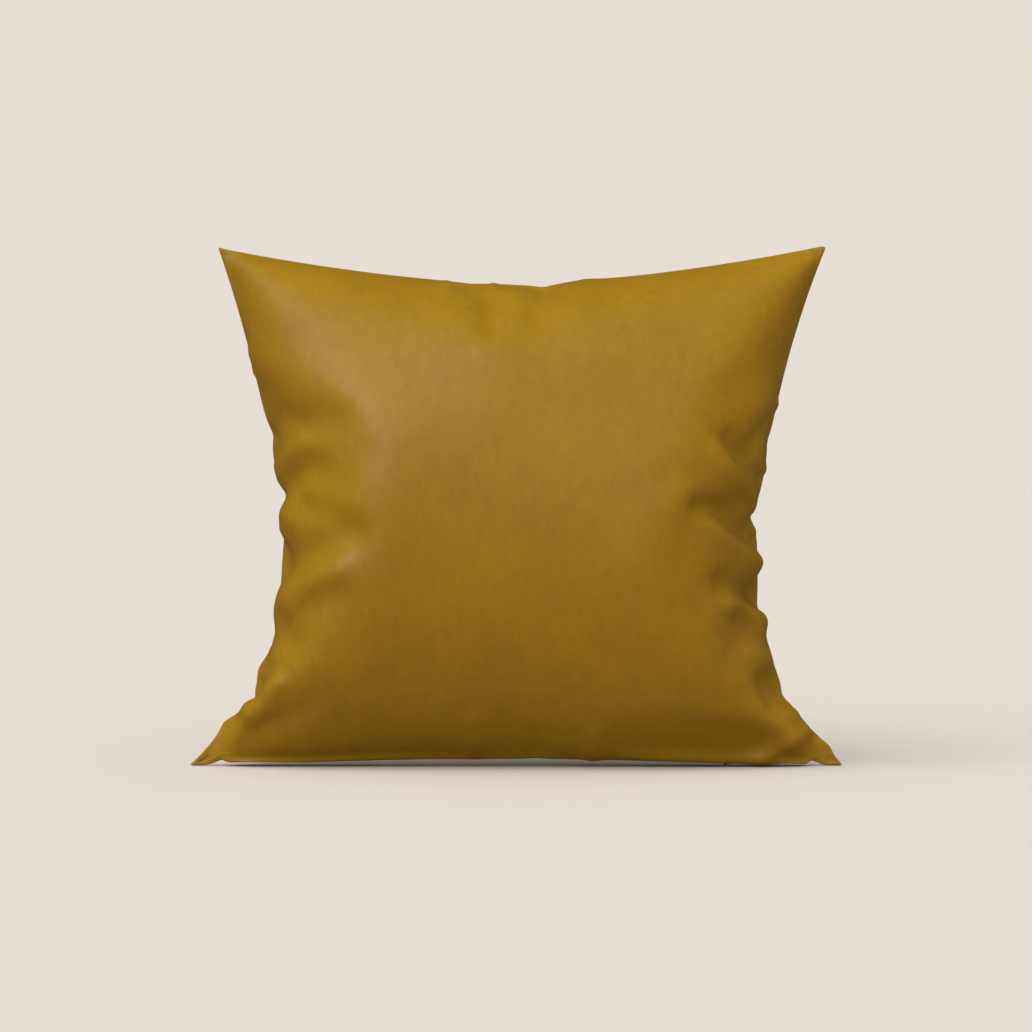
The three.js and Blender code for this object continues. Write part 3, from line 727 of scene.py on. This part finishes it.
# One sewn panel: its face, the rolled edge beside the seam, and the allowance turned in along the seam.
def makePanel(name, data, shape, side, seam, layer):
    bm = bmesh.new()
    bm.from_mesh(data)
    bm.verts.ensure_lookup_table()
    sideOf = vertexValues(data, "side")
    points = {point["vertex"]: point for point in seam}
    rowVerts = {k: bm.verts[k] for k in points}
    for k, v in enumerate(bm.verts):
        v.co = shape[k]
    others = [v for k, v in enumerate(bm.verts) if k not in points and sideOf[k] * side < 0]
    for k, point in points.items():
        inwards = edgePlace(point, side, 0.0011, layer["shoulder"], layer)
        if point["run"] == "bottom" and "zipHalfOpening" in layer:
            fold = Vector((point["place"].x, side * 0.0024, point["place"].z - 0.0008))
            inwards = inwards.lerp(fold, point["groove"])
        rowVerts[k].co = inwards
    bmesh.ops.delete(bm, geom=others, context="VERTS")
    depths = {k: allowanceDepth(point, layer) for k, point in points.items()}
    for reach in (0, 0.16, 0.55, 1):
        rowVerts = extrudeRow(bm, rowVerts, lambda k: edgePlace(points[k], side, depths[k] * reach,
                                                                  layer["seamGap"], layer))
    return meshFrom(bm, name)


def finishPanel(piece, wall, levels):
    thick = piece.modifiers.new("wall", "SOLIDIFY")
    thick.thickness = wall
    thick.offset = -1
    if levels:
        smooth = piece.modifiers.new("smooth", "SUBSURF")
        smooth.levels = smooth.render_levels = levels


# A thread or wire along a line of points.
def threadMesh(name, points, radius):
    curve = bpy.data.curves.new(name, "CURVE")
    curve.dimensions = "3D"
    curve.bevel_depth = radius
    curve.bevel_resolution = 1
    curve.use_fill_caps = True
    spline = curve.splines.new("POLY")
    spline.points.add(len(points) - 1)
    for target, point in zip(spline.points, points):
        target.co = (*point, 1)
    holder = bpy.data.objects.new(name, curve)
    scene.collection.objects.link(holder)
    data = bpy.data.meshes.new_from_object(holder.evaluated_get(bpy.context.evaluated_depsgraph_get()))
    bpy.data.objects.remove(holder)
    return data


overlock = {"pitch": 0.0022, "arm": 0.003, "over": 0.0006, "pointsPerTurn": 8, "fromCorner": 0.0295}


# The overlock stitch: loops of thread wrapped over the raw edges of both allowances, along one run of seam.
def overlockPoints(seam, run, layer):
    line = [point for point in seam if point["run"] == run and point["toCorner"] > overlock["fromCorner"]]
    along = [0.0]
    for before, after in zip(line, line[1:]):
        along.append(along[-1] + (after["place"] - before["place"]).length)
    half = layer["seamGap"] + layer["wall"] + layer["thread"]
    reach = (overlock["arm"] + overlock["over"]) / 2
    points = []
    turns = int(along[-1] / overlock["pitch"])
    for step in range(turns * overlock["pointsPerTurn"] + 1):
        at = step * overlock["pitch"] / overlock["pointsPerTurn"]
        m = min(int(np.searchsorted(along, at, side="right")) - 1, len(line) - 2)
        share = (at - along[m]) / (along[m + 1] - along[m])
        before, after = line[m], line[m + 1]
        place, into, front = (before[name].lerp(after[name], share) for name in ("place", "into", "front"))
        depth = allowanceDepth(line[m], layer) + overlock["over"] - reach
        turn = 2 * math.pi * step / overlock["pointsPerTurn"]
        inwards = min(max(1.4 * math.cos(turn), -1), 1) * reach
        forwards = min(max(1.4 * math.sin(turn), -1), 1) * half
        points.append(place + into * (depth + inwards) + front * forwards)
    return points


coverSeam = readSeam(coverMesh, coverShape)
coverPieces = []
for name, side in (("front", -1), ("back", 1)):
    panel = makePanel("velvet_" + name, coverMesh, coverShape, side, coverSeam, cover)
    piece = addPiece("velvet_" + name, panel, "pillow", "velvet", "cover_" + name + "_panel")
    finishPanel(piece, cover["wall"], 1)
    coverPieces.append(piece)
for run in ("left", "top", "right"):
    stitches = threadMesh("cover_overlock_" + run, overlockPoints(coverSeam, run, cover), 0.00025)
    addPiece("cover_overlock_" + run, stitches, "pillow", "cover_thread", "cover_seam_thread_" + run)
print("cover sewn")


# The insert and its fibre nest in the cover: each follows the filled cover's inside at a distance, with its
# own seam further in, and arches over the zip.
insert = {
    "wall": 0.0008,
    "allowance": 0.007,
    "seamGap": 0.00015,
    "shoulder": 0.0018,
    "thread": 0.0003,
    "inside": 0.0036,  # from the cover's outer face
    "seamInset": 0.0145,
    "seamHeight": 0.0265,
    "edgeRound": 0.028,
    "archRound": 0.036,
}
fibre = {
    "inside": 0.0058,
    "seamInset": 0.0245,
    "seamHeight": 0.0365,
    "edgeRound": 0.024,
    "archRound": 0.036,
    "lumps": 0.0006,
}
gridShape = (cover["columns"] + 1, cover["rows"] + 1)


coverNormals, coverTree = outsideOf(coverMesh, coverShape)


# The values of one panel's vertices as a grid, column by row.
def panelGrid(values, panelSide, side, u, t):
    grid = np.zeros((*gridShape, values.shape[1]))
    columns = np.round((u + 1) / 2 * cover["columns"]).astype(int)
    rows = np.round(t * cover["rows"]).astype(int)
    seamed = (np.abs(u) > 0.9999) | (t < 1e-4) | (t > 0.9999)
    mine = seamed | (side * panelSide > 0)
    grid[columns[mine], rows[mine]] = values[mine]
    return grid


def gridValue(grid, u, t):
    x, y = (u + 1) / 2 * cover["columns"], t * cover["rows"]
    i, j = min(int(x), cover["columns"] - 1), min(int(y), cover["rows"] - 1)
    a, b = x - i, y - j
    low = grid[i, j] * (1 - a) + grid[i + 1, j] * a
    high = grid[i, j + 1] * (1 - a) + grid[i + 1, j + 1] * a
    return low * (1 - b) + high * b


def roundOff(share):
    share = min(max(share, 0), 1)
    return math.sqrt(1 - (1 - share) ** 2)


def nestShape(layer):
    side, u, t = (vertexValues(coverMesh, name) for name in ("side", "across", "up"))
    grids = {panel: [panelGrid(values, panel, side, u, t) for values in (coverShape, coverNormals)]
             for panel in (-1, 1)}
    halfWidth = (outline["left"]["waist"] + outline["right"]["waist"]) / 2
    tall = cover["middleHeightCut"]
    shape = np.zeros_like(coverShape)
    for k in range(len(shape)):
        places, normals = grids[-1 if side[k] < 0 else 1]
        us = u[k] * (1 - layer["seamInset"] / halfWidth)
        ts = layer["seamInset"] / tall + t[k] * (1 - 2 * layer["seamInset"] / tall)
        x, y, z = gridValue(places, us, ts) - gridValue(normals, us, ts) * layer["inside"]
        toEdge = min((1 - abs(u[k])) * halfWidth, (1 - t[k]) * tall)
        toFoot = t[k] * tall
        z = z + (layer["seamHeight"] - z) * (1 - ease(toFoot / layer["archRound"]))
        y *= roundOff(toEdge / layer["edgeRound"]) * roundOff(toFoot / layer["archRound"])
        z = min(z, topSeamHeight(x) - layer["seamInset"])
        limit = sideReach(x, z) - layer["seamInset"]
        x = math.copysign(min(abs(x), limit), x)
        shape[k] = (x, y, z)
    return keepInside(shape, layer["inside"])


# Moves points that are too near the cover's outer face back inside it.
def keepInside(shape, least):
    for _ in range(2):
        for k in range(len(shape)):
            place = Vector(shape[k])
            nearest, normal, _, distance = coverTree.find_nearest(place)
            inside = (nearest - place).dot(normal)
            depth = distance if inside > 0 else -distance
            if depth < least:
                shape[k] = place - normal * (least - depth)
    return shape


insertShape = nestShape(insert)
insertSeam = readSeam(coverMesh, insertShape)
insertPieces = {}
for name, side in (("front", -1), ("back", 1)):
    panel = makePanel("ticking_" + name, coverMesh, insertShape, side, insertSeam, insert)
    piece = addPiece("ticking_" + name, panel, "pillow", "ticking", "insert_" + name + "_panel")
    finishPanel(piece, insert["wall"], 0)
    insertPieces[name] = piece
for run in ("left", "top", "right"):
    stitches = threadMesh("insert_overlock_" + run, overlockPoints(insertSeam, run, insert), 0.00025)
    addPiece("insert_overlock_" + run, stitches, "pillow", "insert_thread", "insert_seam_thread_" + run)

# Slip stitches across the hand-closed gap in the insert's bottom seam.
closing = {"halfLength": 0.150, "stitch": 0.006, "swing": 0.0012, "below": 0.0004}
seamLine = [point["place"] for point in insertSeam if point["run"] == "bottom"]
slipPoints = []
for step in range(int(2 * closing["halfLength"] / closing["stitch"]) * 4 + 1):
    x = -closing["halfLength"] + step * closing["stitch"] / 4
    z = np.interp(x, [p.x for p in seamLine], [p.z for p in seamLine])
    slipPoints.append(Vector((x, closing["swing"] * (1, 1, -1, -1)[step % 4], z - closing["below"])))
addPiece("slip_stitches", threadMesh("slip_stitches", slipPoints, 0.0003), "pillow", "insert_thread",
         "insert_closing_thread")

fibreShape = nestShape(fibre)
fibreNormals, _ = outsideOf(coverMesh, fibreShape)
bm = bmesh.new()
bm.from_mesh(coverMesh)
for k, v in enumerate(bm.verts):
    lump = noise.fractal(Vector(fibreShape[k]) * 60, 0.8, 2.0, 3)
    v.co = fibreShape[k] - fibreNormals[k] * fibre["lumps"] * (1 + lump)
piece = addPiece("fibre_fill", meshFrom(bm, "fibre_fill"), "pillow", "fibre", "insert_fill")
print("insert filled")


# A blank label that lies on a panel: a strip across the CAD label's box, kept off the seam and laid on the
# face that a ray along Y meets.
def makeLabel(name, node, onto, away, offSeam, lift):
    low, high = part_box(node)
    tree = BVHTree.FromObject(onto, bpy.context.evaluated_depsgraph_get())
    bm = bmesh.new()
    bmesh.ops.create_grid(bm, x_segments=20, y_segments=16, size=0.5)
    for v in bm.verts:
        z = low.z + (v.co.y + 0.5) * (high.z - low.z)
        left, right = max(low.x, offSeam - sideReach(-1, z)), min(high.x, sideReach(1, z) - offSeam)
        x = left + (v.co.x + 0.5) * (right - left)
        start = Vector((x, away[0], z))
        place, _, _, _ = tree.ray_cast(start, Vector((0, away[1], 0)))
        v.co = place - Vector((0, away[1] * lift, 0))
    bmesh.ops.smooth_vert(bm, verts=bm.verts[:], factor=0.5, use_axis_x=False, use_axis_y=True,
                          use_axis_z=False)
    piece = addPiece(name, meshFrom(bm, name), "pillow", "label", node)
    thick = piece.modifiers.new("cloth", "SOLIDIFY")
    thick.thickness = 0.0005
    thick.offset = 0
    return piece


makeLabel("care_tag", "care_label", coverPieces[1], (0, 1), 0.013, 0.0008)
makeLabel("insert_tag", "insert_label", insertPieces["front"], (-0.2, 1), 0.026, 0.0008)
print("labels sewn in")


# A CAD piece with its edges rounded off, to stand for it.
def roundedCopy(name, node, body, slot, radius, segments, dish=0.0):
    bm = bmesh.new()
    bm.from_mesh(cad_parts[node].data)
    bmesh.ops.remove_doubles(bm, verts=bm.verts[:], dist=1e-6)
    bmesh.ops.dissolve_limit(bm, angle_limit=math.radians(1), verts=bm.verts[:], edges=bm.edges[:])
    if dish:
        broad = [f for f in bm.faces if f.calc_area() > 4e-5]
        bmesh.ops.inset_region(bm, faces=broad, thickness=0.0005, depth=-dish)
    sharp = [e for e in bm.edges if e.is_manifold and e.calc_face_angle() > math.radians(35)]
    bmesh.ops.bevel(bm, geom=sharp, offset=radius, offset_type="OFFSET", affect="EDGES", segments=segments,
                    profile=0.5, material=-1, clamp_overlap=True)
    piece = addPiece(name, meshFrom(bm, name), body, slot, node)
    for face in piece.data.polygons:
        face.use_smooth = False
    return piece


# The zip. Each coil is a wire wound along its tape, and each tape is held by a row of lock stitches.
coil = {"wire": 0.00022, "pitch": 0.0015, "pointsPerTurn": 10}
stitching = {"stitch": 0.003, "rise": 0.00022, "radius": 0.00024}
for name in ("front", "back"):
    low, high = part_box("zip_coil_" + name)
    middle, half = (low + high) / 2, (high - low) / 2
    turns = int((high.x - low.x - 2 * coil["wire"]) / coil["pitch"])
    points = []
    for step in range(turns * coil["pointsPerTurn"] + 1):
        turn = 2 * math.pi * step / coil["pointsPerTurn"]
        points.append(Vector((low.x + coil["wire"] + step * coil["pitch"] / coil["pointsPerTurn"],
                              middle.y + (half.y - coil["wire"]) * math.cos(turn),
                              middle.z + (half.z - coil["wire"]) * math.sin(turn))))
    addPiece("coil_" + name, threadMesh("coil_" + name, points, coil["wire"]), "pillow", "zip_coil",
             "zip_coil_" + name)
    roundedCopy("tape_" + name, "zip_tape_" + name, "pillow", "zip_tape", 0.00015, 2)
    roundedCopy("top_stop_" + name, "zip_top_stop_" + name, "pillow", "zip_metal", 0.0003, 3)
    low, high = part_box("tape_thread_" + name)
    middle = (low + high) / 2
    points = []
    for step in range(int((high.x - low.x) / stitching["stitch"] * 6)):
        x = low.x + step * stitching["stitch"] / 6
        rise = stitching["rise"] * abs(math.sin(math.pi * step / 6))
        points.append(Vector((x, middle.y, low.z + stitching["radius"] + rise)))
    addPiece("tape_stitches_" + name, threadMesh("tape_stitches_" + name, points, stitching["radius"]),
             "pillow", "cover_thread", "tape_thread_" + name)
roundedCopy("bottom_stop", "zip_bottom_stop", "pillow", "zip_metal", 0.0003, 3)
roundedCopy("slider_body", "zip_slider", "slider", "zip_metal", 0.00018, 2)
roundedCopy("pull_tab", "zip_pull", "pull", "zip_metal", 0.00016, 2, dish=0.00012)
print("zip fitted")

low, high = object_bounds()
